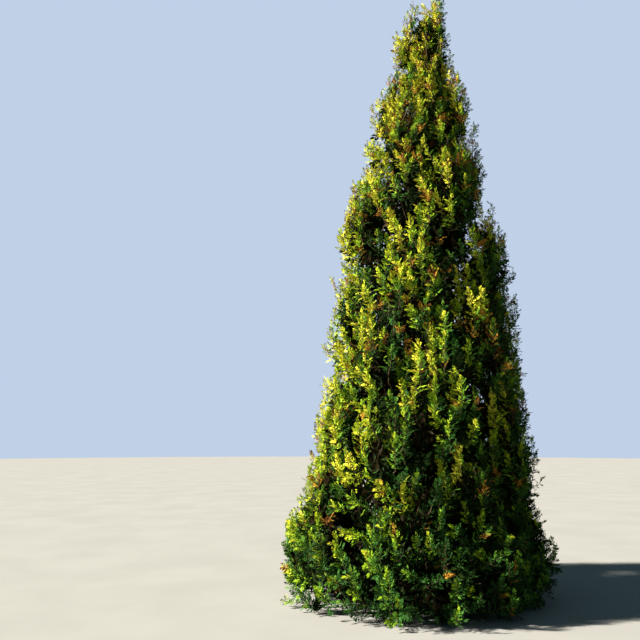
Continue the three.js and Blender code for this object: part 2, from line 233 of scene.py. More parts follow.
OLD_TRUNK_TURN = 70
OLD_TRUNK_GREEN_SHARE = 0.5
CONE_CLUSTER_LENGTH = 0.07
CONE_HEIGHT = 1.3  # cones grow above this
CONE_CHANCE = 0.2
MOST_CONE_CLUSTERS = 3
CONE_RISE = 0.8
CONE_STALK_SHARE = 0.3  # of a spray's length

# The shapes of sprays, one unit long
YOUNG = {"width": 0.115, "branchlets": 6, "length": 0.44, "curl": 0.6}
OLD = {"width": 0.17, "branchlets": 5, "length": 0.55, "curl": 0.4}
SPRAY_KINDS = 8
OLD_SPRAY_KINDS = 3
CONE_KINDS = 3
FINGER_WIDEST = 0.55  # how far along it a finger is widest
FINGER_FOLD = 0.35  # how far a finger's edges lie behind its midrib, as a share of its width
FINGER_BEND = 0.09  # and how far its middle lies off the straight line, as a share of its length
AXIS_LENGTH = 0.8
AXIS_WIDTH = 0.5  # as a share of a branchlet's
BRANCHLET_ANGLES = (48, 20)  # degrees off the axis, at its foot and near its tip
BRANCHLET_TURN_SPREAD = 9
BRANCHLET_FOOT = 0.12
BRANCHLET_SPAN = 0.62
BRANCHLET_FOOT_SPREAD = 0.02
BRANCHLET_LENGTH_SPREAD = 0.18
LONGEST_BRANCHLET = 0.35  # how far along the row the longest one is
BRANCHLET_TAPER = 0.45  # and how quickly they get shorter away from it
BRANCHLET_LIFT = 0.35
TIP_ANGLES = (-24, 3, 26)  # of the fingers at the tip of a spray
TIP_TURN_SPREAD = 6
TIP_FOOT = 0.68
TIP_LENGTH = 0.32
TIP_LENGTH_SPREAD = 0.03
TIP_LIFT = 0.25
CONES_IN_CLUSTER = 4
CONE_LEANS = (15, 60)
CONE_FOOT = 0.15
CONE_FOOT_SPREAD = 0.5
CONE_CORE = 0.04
SCALES_ON_CONE = 6
# For every other scale, and for those between: how far it opens, in degrees, and its length
SCALE_OPENINGS = (8, 22)
SCALE_LENGTHS = (0.42, 0.34)
SCALE_WIDTH = 0.17

# Tints, dealt out by spray, which carry painted light and shade
# One green in six steps, from painted shade to painted sunlight
SHADE_TO_SUN_GREENS = ("shade_green", "deep_green", "mid_green", "bright_green", "sun_green", "sun_yellow")
# Painted light, with the yellower growth of the sunny side: sprays on the side the key light comes from, and
# leaning to it, get brighter tints, those away from it darker ones
SUN_SIDE = np.array([-1.0, 0.06, 0.0])
TINT_BASE = 1.15
TINT_OF_SUN = 3.3
SUN_OF_TUFT = 0.6  # how much the tuft's side counts
SUN_OF_SPRAY = 0.4  # and how much the way that the spray leans
# Brighter towards a tuft's tip: its young growth, and painted shade on the lower, inner sprays
TINT_OF_TIP = 2.2
# Painted shade near the ground, more on the sunny side
FOOT_SHADE = 2.5  # how many tints darker the sprays are at the ground
FOOT_SHADE_HEIGHT = 1.05
# Painted shade, with the darker old foliage deep in the crown
DEEP_SHADE = 2.6  # how many tints darker the deepest tufts are
# Painted light at the top of the crown
TOP_TINT = 1.8  # how many tints brighter the sprays are at the top
TUFT_TINT_SPREAD = 1.2
SPRAY_TINT_SPREAD = 0.7
BRONZE_SPAN = 0.14  # how much of a tuft's length a bronze patch takes
BRONZE_CHANCE = (0.05, 0.9)  # at the ground, and at the top
BRONZE_SHARE = 0.8  # of the sprays in a patch
RUST_SHARE = 0.3

# The colours of the sprays. The old ones lie deep in the crown, old foliage made near-black as painted shade
LEAF_COLORS = {
    # The first six are the steps of painted shade and painted light of one green
    "shade_green": (0.018, 0.055, 0.012),
    "deep_green": (0.032, 0.105, 0.018),
    "mid_green": (0.085, 0.200, 0.018),
    "bright_green": (0.210, 0.345, 0.016),
    "sun_green": (0.380, 0.460, 0.022),
    "sun_yellow": (0.520, 0.510, 0.040),
    "bronze": (0.360, 0.190, 0.025),
    "rust": (0.170, 0.070, 0.016),
    "shaded_old_green": (0.007, 0.016, 0.003),
    "shaded_old_brown": (0.011, 0.008, 0.003),
}
TINTS = [*LEAF_COLORS, "cones"]

# Finishes. Scales of patterns are in repeats a metre, and a range of a pattern is drawn out to 0 to 1
LEAF_ROUGHNESS = 0.58
LEAF_SPECULAR = 0.03
LEAF_DRIFT = 9
LEAF_DRIFT_RANGE = (0.3, 0.7)
LEAF_DRIFT_SHADES = (0.78, 1.2)
LEAF_PATCH = 55
LEAF_PATCH_RANGE = (0.52, 0.72)
LEAF_DULL_SHARE = 0.45
LEAF_DULL_PARTS = (0.9, 0.7, 0.9)
LEAF_DULL_RED = 0.01
LEAF_SCALE = 300
LEAF_SCALE_STRETCH = 0.55
LEAF_SCALE_DEPTH = 0.001
LEAF_EDGE_RANGE = (0.35, 0.75)
LEAF_EDGE_SHARE = 0.5
LEAF_EDGE_SHADE = 0.45
LEAF_EDGE_ROUGHNESS = 0.2
LEAF_POLISH = 0.08
LEAF_BUMP = 0.5
BARK_ROUGHNESS = 0.85
BARK_SPECULAR = 0.15
BARK_PATCH = 6
BARK_PATCH_RANGE = (0.4, 0.7)
BARK_WEATHERED_SHARE = 0.7
BARK_FIBRES = 4  # times finer than the strips
BARK_FIBRE_RANGE = (0.35, 0.7)
BARK_FIBRE_SHARE = 0.5
BARK_FIBRE_SHADE = 1.7
BARK_FIBRE_HEIGHT = 0.4
BARK_FIBRE_ROUGHNESS = 0.15
BARK_POLISH = 0.1
BARK_GROOVE_RANGE = (0.32, 0.52)
BARK_GROOVE_DEPTH = 0.004
BARK_BUMP = 0.8
BARK_COLOR = (0.115, 0.066, 0.040)
BARK_GROOVE_COLOR = (0.022, 0.013, 0.009)
TWIG_BARK_STRIP = 220
TWIG_COLOR = (0.060, 0.036, 0.018)
TWIG_GROOVE_COLOR = (0.020, 0.014, 0.008)
CONE_ROUGHNESS = 0.75
CONE_PATCH = 30
CONE_PATCH_RANGE = (0.35, 0.65)
CONE_GRAIN = 420
CONE_GRAIN_RANGE = (0.45, 0.7)
CONE_GRAIN_SHARE = 0.6
CONE_GRAIN_SHADE = 0.5
CONE_GRAIN_ROUGHNESS = 0.2
CONE_GRAIN_DEPTH = 0.0008
CONE_POLISH = 0.1
CONE_BUMP = 0.5
CONE_COLOR = (0.36, 0.24, 0.09)
CONE_DARK = (0.20, 0.10, 0.04)
FLOOR_ROUGHNESS = 0.9
FLOOR_CLOUD = 0.9
FLOOR_CLOUD_RANGE = (0.3, 0.7)
FLOOR_CLOUD_SHADE = 0.93
FLOOR_CLOUD_ROUGHNESS = 0.1
FLOOR_POLISH = 0.05
FLOOR_COLOR = (0.27, 0.27, 0.27)
FLOOR_RADIUS = 60
FLOOR_SIDES = 96

# Light
KEY_ENERGY = 21
KEY_ANGLE = 3  # degrees across
KEY_COLOR = (1, 0.93, 0.78)
KEY_SIDE = (-0.9, -0.13, 0.44)  # the side that it comes from
FILL_COLOR = (0.48, 0.8, 0.95, 1)
FILL_STRENGTH = 0.2
BACKDROP_COLOR = (0.66, 0.79, 1, 1)
BACKDROP_STRENGTH = 0.8

CAMERA_PLACE = (-1.069, -7.65, 1.7)
CAMERA_PITCH = 10.6
LENS = 36
SENSOR = 36

LAYOUT_SEED = 20307
FIRST_SEED = 101
SEED_STEP = 37
STREAM_FACTOR = 48271
STREAM_SIZE = 2**31 - 1
UP = np.array([0.0, 0.0, 1.0])
EAST = np.array([1.0, 0.0, 0.0])
ASKEW = np.array([0.3, 0.7, 0.1])  # a direction that no limb takes
MIX_COLORS = (6, 7)  # a Mix node's inputs for the two colours
MIX_RESULT = 2  # and its output for the blended one
# The columns of a spray's row, after its tint and its kind
ROOT = slice(2, 5)
ALONG = slice(5, 8)
ACROSS = slice(8, 11)
LENGTH = 11
MOST_TRIANGLES = 190_000  # in one piece
BOX_MARGIN = (0.08, 0.08, 0)  # how far sprays may stand out of the box of the part's solids
SPRAY_BOX = np.array(cad_box) + np.outer((-1, 1), BOX_MARGIN)


class Numbers:
    """A repeatable stream of numbers from 0 to 1, the same as the source's."""

    def __init__(self, seed):
        self.state = seed

    def __call__(self):
        self.state = self.state * STREAM_FACTOR % STREAM_SIZE
        return self.state / STREAM_SIZE

    def spread(self, amount):
        return (2 * self() - 1) * amount


def line_at(z):
    """The middle line of the tree at a height."""
    share = np.asarray(z) / TREE_HEIGHT
    x = TIP_LEAN * share + BEND * np.sin(2 * np.pi * share)
    return np.stack([x, SWAY * np.sin(np.pi * share), TREE_HEIGHT * share], axis=-1)


def crown_reach(z):
    low = np.maximum(0, 1 - np.maximum(z, 0) / SKIRT_HEIGHT)
    left = np.maximum(0, 1 - z / TREE_HEIGHT)
    return CROWN_RADIUS * left**CROWN_POWER * (1 - SKIRT_TUCK * low * low)


def trunk_radius_at(z, angle=0.0):
    left = np.maximum(0, 1 - z / TRUNK_TOP)
    taper = TRUNK_TIP_RADIUS + (TRUNK_RADIUS - TRUNK_TIP_RADIUS) * left**TRUNK_POWER
    lobes = 1 + FLARE_LOBE_SHARE * np.cos(FLARE_LOBES * angle)
    return taper + FLARE_RADIUS * lobes * np.exp(-z / FLARE_HEIGHT)


def furrow_at(points):
    """0 on the upright ridges of the crown's surface, and 1 in the furrows between them."""
    off = points - line_at(points[..., 2])
    turn = np.arctan2(off[..., 1], off[..., 0])
    z = points[..., 2]
    wander, often, slant = RIDGE_WAVES
    breaks, shift, times = RIDGE_BREAKS
    across = np.sin(RIDGES * turn + wander * np.sin(often * z) + slant * z)
    upwards = np.sin(often * z * breaks + shift * np.sin(times * turn))
    level, beside, at_breaks = FURROW_PARTS
    return np.clip(level + beside * across + at_breaks * upwards, 0, 1) ** 2


def unit(vectors):
    return vectors / np.linalg.norm(vectors, axis=-1, keepdims=True)


def turned(vectors, axes, degrees):
    """Vectors turned about unit axes."""
    angle = np.radians(degrees)[..., None]
    along = np.sum(vectors * axes, axis=-1, keepdims=True) * axes
    return along + (vectors - along) * np.cos(angle) + np.cross(axes, vectors) * np.sin(angle)


def raised(level, degrees):
    """A level heading, tilted up."""
    return level * math.cos(math.radians(degrees)) + UP * math.sin(math.radians(degrees))


def on_curve(curve, share):
    """The point at a share of the way along a curve of three control points."""
    foot, control, tip = curve
    return (1 - share) ** 2 * foot + 2 * share * (1 - share) * control + share**2 * tip


def between(ends, share):
    return ends[0] + (ends[1] - ends[0]) * share


class Plume:
    """A mass of foliage: the space it keeps to, and its stem."""

    def __init__(self, name, middle, out, **rest):
        self.name = name
        self.middle = middle
        self.out = out
        self.bough = None
        self.bare_middle = True
        self.reach = 1
        self.hanging = 0
        self.top = None
        self.fan = 180
        self.rises = (LOW_TWIG_RISE, HIGH_TWIG_RISE)
        self.lengths = TWIG_LENGTHS
        self.low_tuft_rise = LOW_TUFT_RISE
        self.stem_radius = BOUGH_FOOT_RADIUS * (1 - BOUGH_THINNING * middle[2] / TREE_HEIGHT)
        self.__dict__.update(rest)

    def meet(self, others):
        """Settles the sides of the space: planes halfway to the other plumes, in a squat measure."""
        self.squat = np.array([1, 1, SQUAT])
        apart = np.array([other.middle - self.middle for other in others if other is not self])
        apart = apart.reshape(-1, 3) * self.squat
        lengths = np.linalg.norm(apart, axis=1)
        self.sides = apart / lengths[:, None]
        self.halves = lengths / 2

    def room_at_sides(self, points):
        here = (points - self.middle) * self.squat
        return (self.halves - here @ self.sides.T).min(axis=-1, initial=LONGEST_REACH)

    def room_in_crown(self, points):
        z = points[..., 2]
        off = points - line_at(z)
        if self.top:
            left = np.maximum(0, self.top - z)
            away = np.hypot(off[..., 0] - self.shift, off[..., 1])
            return np.minimum(self.spire * left**SPIRE_POWER - away, left)
        share = np.minimum(1, np.abs(z - self.middle[2]) / PLUME_BULGE_HEIGHT)
        bulge = 1 + PLUME_BULGE * np.cos(np.pi * share)
        return crown_reach(z) * self.reach * bulge - np.hypot(off[..., 0], off[..., 1])

    def room(self, points, skin=0.0):
        """How far points lie inside the space: under 0 outside it."""
        z = points[..., 2]
        room = np.minimum(self.room_in_crown(points) - skin, z - GROUND_GAP)
        if self.bare_middle:
            off = points - line_at(z)
            bare = HOLLOW_SHARE * crown_reach(z) + trunk_radius_at(z)
            room = np.minimum(room, np.hypot(off[..., 0], off[..., 1]) - bare)
        return np.minimum(room, self.room_at_sides(points))

    def room_in_outline(self, points):
        """The room in the crown, measured from the outline of the tufts and the box of the sprays."""
        z = points[..., 2]
        shift = np.interp(z, OUTLINE_HEIGHTS, OUTLINE_SHIFTS)[..., None] * EAST
        room = self.room_in_crown(points - shift) - np.interp(z, OUTLINE_HEIGHTS, OUTLINE_DEPTHS)
        walls = np.minimum(points - SPRAY_BOX[0], SPRAY_BOX[1] - points)[..., :2]
        return np.minimum(room, walls.min(axis=-1))

    def room_for_tufts(self, points):
        """The room in the outline, less the furrows and a valley along the borders with the other plumes."""
        room = self.room_in_outline(points)
        if self.top:
            return room
        border = np.clip(1 - self.room_at_sides(points) / VALLEY_WIDTH, 0, 1)
        return room - np.maximum(VALLEY_DEPTH * border, RIDGE_DEPTH * furrow_at(points))

    def reach_from(self, point, direction, gap, skin=0.0, outlined=False):
        """How far it is to where the space, or the outline as well, leaves less room than gap."""
        steps = REACH_STEP * np.arange(1, round(LONGEST_REACH / REACH_STEP) + 1)
        places = point + steps[:, None] * direction
        tight = self.room(places, skin) < gap
        if outlined:
            tight |= self.room_in_outline(places) < gap
        return REACH_STEP * int(np.argmax(tight)) if tight.any() else LONGEST_REACH

    def core_reach(self, direction):
        if self.top:
            return self.reach_from(self.middle, direction, SPIRE_CORE_GAP, SPIRE_CORE_DEPTH)
        depth = SKIRT_CORE_DEPTH_SHARE if self.hanging else CORE_DEPTH_SHARE
        skin = depth * crown_reach(self.middle[2])
        return self.reach_from(self.middle, direction, CORE_GAP, skin)

    def limb_foot(self):
        out = np.linalg.norm((self.middle - line_at(self.middle[2]))[:2])
        return line_at(max(LOWEST_FOOT, self.middle[2] - BOUGH_RISE * out))

    def bough_curve(self):
        foot = self.limb_foot()
        back = unit(foot - self.middle)
        stub = SIDE_STEM_STUB if self.top else STEM_STUB
        tip = self.middle + back * (self.core_reach(back) + stub)
        control = (foot + tip) / 2 - BOUGH_SAG * np.linalg.norm(tip - foot) * UP
        return foot, control, tip

    def stem_curve(self):
        """The stem: through the plume's middle to the top of its space."""
        lean = line_at(TREE_HEIGHT) - line_at(LEADER["height"])
        rising = unit(lean if self.top else STEM_LEAN * self.out + UP)
        skin = 0 if self.top else STEM_DEPTH
        tip = self.middle + rising * self.reach_from(self.middle, rising, PLUME_GAP, skin)
        foot = self.limb_foot()
        if self.bough:
            foot = self.bough_curve()[2]
        elif self.top:
            foot = line_at(self.middle[2] - LEADER_DROP)
        return foot, 2 * self.middle - (foot + tip) / 2, tip


def plume_in_spiral(i, random):
    """One plume of the spiral round the trunk, as in the source."""
    angle = math.radians(FIRST_TURN + 360 * GOLDEN_SHARE * i + random.spread(PLUME_TURN_SPREAD))
    rise = (i / (PLUME_COUNT - 1)) ** CROWDING
    z = LOWEST_PLUME + (HIGHEST_PLUME - LOWEST_PLUME) * rise + random.spread(PLUME_HEIGHT_SPREAD)
    out = np.array([math.cos(angle), math.sin(angle), 0])
    plume = Plume(f"plume_{i + 1}", line_at(z) + PLUME_SHARE * crown_reach(z) * out, out)
    plume.reach = 1 + random.spread(PLUME_REACH_SPREAD)
    plume.twigs = round(MOST_TWIGS * (crown_reach(z) / CROWN_RADIUS) ** TWIG_POWER)
    if i < BOUGH_COUNT:
        plume.bough = f"bough_{i + 1}"
    if z < OPEN_FAN_HEIGHT:
        plume.fan = TWIG_FAN
    if z < HANGING_HEIGHT:
        plume.twigs += HANGING_TWIGS
        plume.hanging = HANGING_TWIG_SHARE
        rim = crown_reach(0) - PLUME_SHARE * crown_reach(z)
        plume.rises = (-min(STEEPEST_FALL, math.degrees(math.atan2(z, rim))), HIGH_TWIG_RISE)
        plume.low_tuft_rise = SKIRT_TUFT_RISE
    return plume


def leader_plume(name, shape):
    middle = line_at(shape["height"]) + np.array([shape["shift"], 0, 0])
    rises = (LEADER_TWIG_RISE, HIGH_TWIG_RISE)
    return Plume(name, middle, -EAST, rises=rises, bare_middle=False, **shape)


def lay_out_plumes():
    random = Numbers(LAYOUT_SEED)
    plumes = [plume_in_spiral(i, random) for i in range(PLUME_COUNT)]
    main = leader_plume("leader_plume", LEADER)
    main.stem_radius = LEADER_STEM_RADIUS
    side = leader_plume("side_leader_plume", SIDE_LEADER)
    side.bough = "side_leader_bough"
    plumes += [main, side]
    for i, plume in enumerate(plumes):
        plume.seed = FIRST_SEED + SEED_STEP * i
        plume.meet(plumes)
    return plumes


# Pieces and bark


def add_object(name, data):
    added = bpy.data.objects.new(name, data)
    bpy.context.scene.collection.objects.link(added)
    return added


def add_piece(name, data, material):
    piece = add_object(name, data)
    data.materials.append(material)
    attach(piece, "root")
    return piece


def relief_on(radius):
    """How far the bark's relief reaches on a limb."""
    return min(MOST_BARK_RELIEF, BARK_RELIEF_SHARE * radius)


def bark_lift(place, radius):
    """How far the bark stands out at a place on a limb: strips that run up it, split by grooves."""
    fine = Vector((place[0], place[1], place[2] / BARK_STRIP_STRETCH)) / BARK_STRIP
    strip = 1 - 2 * abs(noise.noise(fine))
    flake = noise.noise(BARK_FLAKES * fine)
    return relief_on(radius) * (strip + BARK_FLAKE_SHARE * flake - BARK_SINK)


def roll_up(mesh, sides, steps, place):
    """A closed tube in a bmesh: a grid rolled up, its vertices put where place says for angle and share."""
    grid = bmesh.ops.create_grid(mesh, x_segments=sides, y_segments=steps, size=0.5)["verts"]
    for vertex in grid:
        vertex.co = place(2 * math.pi * (vertex.co.x + 0.5), vertex.co.y + 0.5)
    bmesh.ops.remove_doubles(mesh, verts=grid, dist=WELD_DISTANCE)


def finish_tubes(mesh, name, material):
    """Caps the open ends of a bmesh's tubes and makes one piece of them."""
    bmesh.ops.holes_fill(mesh, edges=mesh.edges, sides=0)
    bmesh.ops.recalc_face_normals(mesh, faces=mesh.faces)
    data = bpy.data.meshes.new(name)
    mesh.to_mesh(data)
    mesh.free()
    data.shade_smooth()
    return add_piece(name, data, material)


def make_trunk(material):
    def place(angle, share):
        z = TRUNK_TOP * share**TRUNK_STEP_POWER
        radius = trunk_radius_at(z, angle)
        line = line_at(z)
        across = np.array([math.cos(angle), math.sin(angle), 0])
        sunk = radius - relief_on(radius)
        return Vector(line + (sunk + bark_lift(line + radius * across, radius)) * across)

    mesh = bmesh.new()
    roll_up(mesh, TRUNK_SIDES, TRUNK_STEPS, place)
    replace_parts(finish_tubes(mesh, "trunk_bark", material), "trunk")


def make_boughs(plumes, material):
    mesh = bmesh.new()
    borne = [plume for plume in plumes if plume.bough]
    for plume in borne:
        curve = plume.bough_curve()
        along = unit(curve[2] - curve[0])
        side = unit(np.cross(UP, along))
        third = np.cross(along, side)

        def place(angle, share):
            radius = plume.stem_radius * (1 - (1 - BOUGH_TIP_SHARE) * share)
            across = math.cos(angle) * side + math.sin(angle) * third
            flat = np.array([math.cos(angle) * radius, math.sin(angle) * radius, share])
            return Vector(on_curve(curve, share) + (radius + bark_lift(flat, radius)) * across)

        roll_up(mesh, BOUGH_SIDES, BOUGH_STEPS, place)
    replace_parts(finish_tubes(mesh, "bough_bark", material), *(plume.bough for plume in borne))


# Sprays and cones: their shapes, one unit long, in their own along, across and out of the face


def finger(root, along, across, length, width, bend=0.0):
    """Two triangles that meet at a midrib: a finger of scale leaves, or a scale of a cone."""
    facing = np.cross(along, across)
    middle = root + FINGER_WIDEST * length * along + bend * length * across - FINGER_FOLD * width * facing
    return [root, middle + 0.5 * width * across, root + length * along, middle - 0.5 * width * across]


def level_finger(root, heading, length, width, lift, bend=0.0):
    """A finger of a flat spray: heading turns it in the spray's face, and lift tilts it out of that."""
    along = np.array([math.cos(heading), math.sin(heading), lift])
    across = np.array([-math.sin(heading), math.cos(heading), 0])
    return finger(root, along, across, length, width, bend)


def spray_shape(random, form):
    """The corners of all fingers of one kind of spray, as an array of quadruples."""
    def spread(amount):
        return random.uniform(-amount, amount)

    width = form["width"]
    fingers = [level_finger(np.zeros(3), 0.0, AXIS_LENGTH, AXIS_WIDTH * width, 0)]
    first = 1 if random.random() < 0.5 else -1
    for i in range(form["branchlets"]):
        share = i / (form["branchlets"] - 1)
        side = first if i % 2 else -first
        heading = side * math.radians(between(BRANCHLET_ANGLES, share) + spread(BRANCHLET_TURN_SPREAD))
        root = np.array([BRANCHLET_FOOT + BRANCHLET_SPAN * share + spread(BRANCHLET_FOOT_SPREAD), 0, 0])
        taper = 1 - BRANCHLET_TAPER * abs(share - LONGEST_BRANCHLET)
        length = form["length"] * taper * (1 + spread(BRANCHLET_LENGTH_SPREAD))
        lift = spread(BRANCHLET_LIFT)
        bend = side * FINGER_BEND
        fingers.append(level_finger(root, heading, length, width, lift, bend))
    for lean in TIP_ANGLES:
        start = np.array([TIP_FOOT + spread(BRANCHLET_FOOT_SPREAD), 0, 0])
        heading = math.radians(lean + spread(TIP_TURN_SPREAD))
        length = TIP_LENGTH + spread(TIP_LENGTH_SPREAD)
        fingers.append(level_finger(start, heading, length, width, spread(TIP_LIFT)))
    shape = np.array(fingers)
    shape[..., 2] += spread(form["curl"]) * shape[..., 0] ** 2 + spread(form["curl"]) * shape[..., 1] ** 2
    return shape


def cone_cluster_shape(random):
    """A few small cones on one stalk, each a whorl of woody scales that open a little."""
    scales = []
    for i in range(CONES_IN_CLUSTER):
        turn = 360 * GOLDEN_SHARE * i + random.uniform(-TURN_SPREAD, TURN_SPREAD)
        lean = random.uniform(*CONE_LEANS)
        axis = turned(turned(np.array([1.0, 0, 0]), UP, lean), np.array([1.0, 0, 0]), turn)
        foot = (CONE_FOOT + CONE_FOOT_SPREAD * random.random()) * axis
        side = unit(np.cross(axis, ASKEW))
        for k in range(SCALES_ON_CONE):
            around = turned(side, axis, 360 * k / SCALES_ON_CONE)
            across = np.cross(axis, around)
            along = turned(axis, -across, SCALE_OPENINGS[k % 2])
            start = foot + CONE_CORE * around
            scales.append(finger(start, along, across, SCALE_LENGTHS[k % 2], SCALE_WIDTH))
    return np.array(scales)


class Foliage:
    """Gathers the sprays, cones, twigs and stems as they grow."""

    def __init__(self):
        random = np.random.default_rng(LAYOUT_SEED)
        self.shapes = [spray_shape(random, YOUNG) for _ in range(SPRAY_KINDS)]
        self.shapes += [spray_shape(random, OLD) for _ in range(OLD_SPRAY_KINDS)]
        self.shapes += [cone_cluster_shape(random) for _ in range(CONE_KINDS)]
        self.sprays = []
        self.stems = []
        self.twigs = []
        self.tufts = np.zeros((0, 4))

    def add_sprays(self, tints, kinds, roots, along, across, lengths):
        """Adds a row for each spray: its tint, its kind, its root, along and across, and its length."""
        columns = [np.asarray(tints)[:, None], kinds[:, None], roots, along, across, lengths[:, None]]
        self.sprays.append(np.concatenate(columns, axis=1))

    def claim(self, middle, spacing):
        """Whether a tuft finds its place free. It keeps the place if it is."""
        apart = (self.tufts[:, :3] - middle) * np.array([1, 1, TUFT_SQUAT])
        near = (spacing + self.tufts[:, 3]) / 2
        if (np.linalg.norm(apart, axis=1) < near).any():
            return False
        self.tufts = np.vstack([self.tufts, [*middle, spacing]])
        return True

    def corners(self, tint):
        """Every finger's corners in the tint's sprays."""
        rows = np.concatenate(self.sprays)
        rows = rows[rows[:, 0] == tint]
        found = [np.zeros((0, 4, 3))]
        for kind, shape in enumerate(self.shapes):
            grown = rows[rows[:, 1] == kind]
            along = grown[:, ALONG]
            across = grown[:, ACROSS]
            turns = np.stack([along, across, np.cross(along, across)], axis=1)
            placed = np.einsum("fcu,suv->sfcv", shape, turns) * grown[:, LENGTH, None, None, None]
            found.append((placed + grown[:, None, None, ROOT]).reshape(-1, 4, 3))
        return np.concatenate(found)


# How the foliage grows


def spray_fits(room, roots, along, across, lengths, depth=0.0):
    """Whether the tips and sides of sprays lie at least so deep in a room, and off the ground."""
    reach = lengths[:, None]
    middle = roots + SPRAY_WIDEST * reach * along
    aside = SPRAY_HALF_WIDTH * reach * across
    ends = np.stack([roots + reach * along, middle + aside, middle - aside])
    return (room(ends).min(axis=0) > depth) & (ends[..., 2].min(axis=0) > GROUND_GAP)


def spray_tints(random, share, sunny, height, depth):
    """The tint of each spray of a tuft, with painted light and shade: brighter towards its tip, the sun, the
    top and the crown's outside, darker near the ground, with a bronze patch in some."""
    count = len(share)
    # Painted light from the key light's side, and brighter towards the tip
    level = TINT_BASE + TINT_OF_SUN * sunny + TINT_OF_TIP * share + random.uniform(-1, 1) * TUFT_TINT_SPREAD
    # Painted shade near the ground
    level -= FOOT_SHADE * max(0, 1 - height / FOOT_SHADE_HEIGHT) * (0.5 + 0.5 * sunny)
    # Painted light at the top, and painted shade on tufts deep in the crown
    level += TOP_TINT * height / TREE_HEIGHT - DEEP_SHADE * max(0, depth) / DEEPEST_TUFT
    level = level + random.uniform(-1, 1, count) * SPRAY_TINT_SPREAD
    tints = np.clip(np.round(level), 0, len(SHADE_TO_SUN_GREENS) - 1).astype(int)
    patch = random.random()
    if random.random() < between(BRONZE_CHANCE, height / TREE_HEIGHT):
        bronzed = (np.abs(share - patch) < BRONZE_SPAN) & (random.random(count) < BRONZE_SHARE)
        rusty = random.random(count) < RUST_SHARE
        tints = np.where(bronzed, np.where(rusty, TINTS.index("rust"), TINTS.index("bronze")), tints)
    return tints


def fill_tuft(foliage, plume, curve, heading, out, length, slack, random):
    """The sprays of a tuft: all round its shoot, like the scales of a cone."""
    count = max(FEWEST_SPRAYS, round(SPRAYS_ON_TUFT * length / TUFT_LENGTH))
    share = (np.arange(count) + random.random(count)) / count
    roots = on_curve(curve, share[:, None])
    side = unit(np.cross(heading, ASKEW))
    turn = 360 * (GOLDEN_SHARE * np.arange(count) + random.random())
    turn = turn + random.uniform(-TURN_SPREAD, TURN_SPREAD, count)
    leaning = turned(np.tile(side, (count, 1)), heading, turn)
    tilt = between(SPRAY_TILT, share) + random.uniform(-1, 1, count) * SPRAY_TILT_SPREAD
    round_it = np.cross(heading, leaning)
    along = turned(np.tile(heading, (count, 1)), round_it, tilt)
    across = turned(round_it, along, random.uniform(-1, 1, count) * SPRAY_ROLL)
    shorter = (length / TUFT_LENGTH) ** SPRAY_LENGTH_POWER
    longest = SPRAY_LENGTH * between((1, SPRAY_TIP_SHARE), share) * shorter
    longest = longest * random.uniform(*SIZE_RANGE, count)
    lengths = np.zeros(count)
    for size in SPRAY_SIZES:
        fits = spray_fits(plume.room_for_tufts, roots, along, across, size * longest, -slack)
        lengths = np.where((lengths == 0) & fits, size * longest, lengths)
    # How far the tuft and the spray face the key light's side, for the painted light in their tints
    sunny = (SUN_OF_TUFT * out + SUN_OF_SPRAY * leaning) @ SUN_SIDE
    # How deep the tuft lies, for its painted shade
    depth = float(plume.room_in_outline(curve[2]))
    tints = spray_tints(random, share, sunny, roots[0, 2], depth)
    kinds = random.integers(0, SPRAY_KINDS, count)
    kept = lengths > 0
    foliage.add_sprays(tints[kept], kinds[kept], roots[kept], along[kept], across[kept], lengths[kept])
    if roots[0, 2] > CONE_HEIGHT and random.random() < CONE_CHANCE:
        grow_cones(foliage, plume, roots, leaning, random)


def grow_cones(foliage, plume, roots, leaning, random):
    """Clusters of cones between the sprays, on the upper part of a tuft."""
    count = random.integers(1, MOST_CONE_CLUSTERS + 1)
    chosen = random.integers(len(roots) // 2, len(roots), count)
    along = unit(leaning[chosen] + CONE_RISE * UP)
    start = roots[chosen] + CONE_STALK_SHARE * SPRAY_LENGTH * leaning[chosen]
    across = unit(np.cross(along, ASKEW))
    lengths = CONE_CLUSTER_LENGTH * random.uniform(*SIZE_RANGE, count)
    kept = spray_fits(plume.room_for_tufts, start, along, across, lengths)
    kinds = SPRAY_KINDS + OLD_SPRAY_KINDS + random.integers(0, CONE_KINDS, count)
    tints = np.full(count, TINTS.index("cones"))
    foliage.add_sprays(tints[kept], kinds[kept], start[kept], along[kept], across[kept], lengths[kept])


def grow_tuft(foliage, plume, joint, heading, out, longest, random):
    """A tuft at a joint of a twig, slid in or made smaller until it fits, if its place is free."""
    slack = MOST_SLACK * random.random() ** SLACK_POWER * min(1, joint[2] / SLACK_HEIGHT)
    for size in TUFT_SIZES:
        for sink in TUFT_SINKS:
            length = size * longest
            foot = joint - sink * length * heading
            tip = foot + length * heading
            over = tip + TIP_CLEARANCE * SPRAY_TIP_SHARE * SPRAY_LENGTH * heading
            if plume.room_for_tufts(over) < -slack or min(tip[2], foot[2]) < GROUND_GAP:
                continue
            middle = (foot + tip) / 2
            if plume.room_in_outline(middle) > DEEPEST_TUFT:
                return False
            if not foliage.claim(middle, TUFT_SPACING * (length / TUFT_LENGTH) ** TUFT_SPACING_POWER):
                return False
            curve = (foot, middle + TUFT_BOW * length * out, tip)
            foliage.twigs.append((curve, TUFT_RADIUS, TUFT_TAPER * TUFT_RADIUS))
            fill_tuft(foliage, plume, curve, heading, out, length, slack, random)
            return True
    return False


def old_looks(count, green_share, random):
    """A kind and a tint for each of some old sprays."""
    kinds = SPRAY_KINDS + random.integers(0, OLD_SPRAY_KINDS, count)
    green = random.random(count) < green_share
    return kinds, np.where(green, TINTS.index("shaded_old_green"), TINTS.index("shaded_old_brown"))


